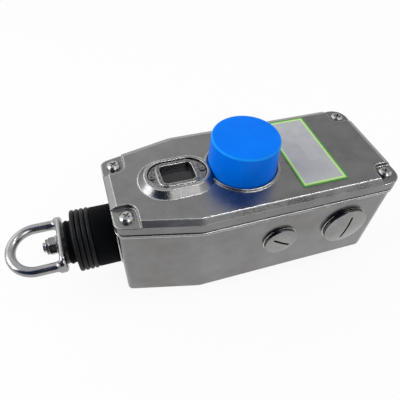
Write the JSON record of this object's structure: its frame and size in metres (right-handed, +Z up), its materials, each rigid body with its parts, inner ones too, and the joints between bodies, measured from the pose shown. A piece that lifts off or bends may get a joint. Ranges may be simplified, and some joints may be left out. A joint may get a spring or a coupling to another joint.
{
  "type": "rope pull switch",
  "caption": "Rope pull safety switch: cast steel case, sprung shaft with a swivelling rope eye and rubber gaiter, blue reset button, viewing window and two plugged conduit entries.",
  "frame": {"origin": "centre of the flat underside of the housing base", "axes": "+X along the shaft, away from the rope; -Y out of the wall with the two conduit entries; +Z up out of the lid"},
  "size_m": [0.2391, 0.0783, 0.0907],
  "materials": {
    "cast_steel": "fine blasted cast stainless steel",
    "lid_steel": "fine blasted cast stainless steel, a little darker",
    "bezel_steel": "satin",
    "black_rubber": "matte",
    "gaiter_rubber": "matte",
    "screw_steel": "bright",
    "dark_steel": "satin",
    "turned_steel": "turned",
    "polished_steel": "polished",
    "nut_steel": "satin",
    "plug_steel": "satin",
    "spring_steel": "bright wire",
    "zinc_plate": "zinc plated",
    "window_glass": "smoked clear plastic",
    "plate_foil": "printed foil, blank",
    "blue_plastic": "satin moulded",
    "black_plastic": "moulded",
    "red_plastic": "moulded",
    "nylon": "moulded",
    "brass": "machined",
    "flag_paint": "satin paint"
  },
  "bodies": {
    "housing": {"housing_base": "cast_steel", "lid": "lid_steel", "lid_gasket": "black_rubber", "lid_screws": "screw_steel", "window_bezel": "bezel_steel", "window_glass": "window_glass", "window_gasket": "black_rubber", "bezel_screws": "dark_steel", "rating_plate": "plate_foil", "reset_bush": "brass", "reset_o_ring": "black_rubber", "reset_spring": "spring_steel", "nose_bush": "turned_steel", "nose_nut": "turned_steel", "shaft_seal": "black_rubber", "gaiter": "gaiter_rubber", "tension_spring": "spring_steel", "chassis": "zinc_plate", "chassis_screws": "screw_steel", "rear_bush": "brass", "switch_block": "black_plastic", "fixed_contacts": "brass", "terminal_screws": "screw_steel", "carrier_springs": "spring_steel", "block_screws": "screw_steel", "latch_pin": "turned_steel", "latch_spring": "spring_steel", "earth_screw": "screw_steel", "earth_washer": "turned_steel", "conduit_plug_large": "plug_steel", "conduit_plug_small": "plug_steel", "plug_washer_large": "black_rubber", "plug_washer_small": "black_rubber"},
    "shaft": {"tension_shaft": "turned_steel", "gaiter_washer": "dark_steel", "eye_washer": "turned_steel", "eye_nut": "nut_steel", "nut_insert": "nylon", "spring_collar": "turned_steel", "collar_pin": "spring_steel", "indicator_flag": "flag_paint", "shaft_clip": "dark_steel", "cam_slider": "nylon", "cam_pin": "spring_steel"},
    "eye": {"rope_eye": "polished_steel"},
    "button": {"reset_button": "blue_plastic", "reset_stem": "turned_steel", "reset_clip": "dark_steel"},
    "carrier": {"contact_carrier": "red_plastic", "contact_bridges": "brass"},
    "latch": {"latch_lever": "zinc_plate"}
  },
  "joints": [
    {"name": "rope_pull", "type": "slide", "parent": "housing", "child": "shaft", "axis": [-1, 0, 0], "range_m": [0, 0.012], "stiffness_N_per_m": 6000, "springref_m": -0.004, "deforming": ["gaiter", "tension_spring"]},
    {"name": "eye_swivel", "type": "hinge", "parent": "shaft", "child": "eye", "pos_m": [-0.11895, 0, 0.0306], "axis": [1, 0, 0], "continuous": true},
    {"name": "reset_press", "type": "slide", "parent": "housing", "child": "button", "axis": [0, 0, -1], "range_m": [0, 0.0045], "stiffness_N_per_m": 2000, "springref_m": -0.003, "deforming": ["reset_spring", "latch_spring"]},
    {"name": "carrier_lift", "type": "slide", "parent": "housing", "child": "carrier", "axis": [0, 0, 1], "range_m": [0, 0.003], "deforming": ["carrier_springs"]},
    {"name": "latch_tilt", "type": "hinge", "parent": "housing", "child": "latch", "pos_m": [0.0145, 0, 0.04242], "axis": [0, -1, 0], "range_deg": [0, 13.51]}
  ],
  "couplings": [
    {"joint": "carrier_lift", "follows": "rope_pull", "ratio": 0.25},
    {"joint": "latch_tilt", "follows": "reset_press", "rad_per_m": 52.356}
  ]
}
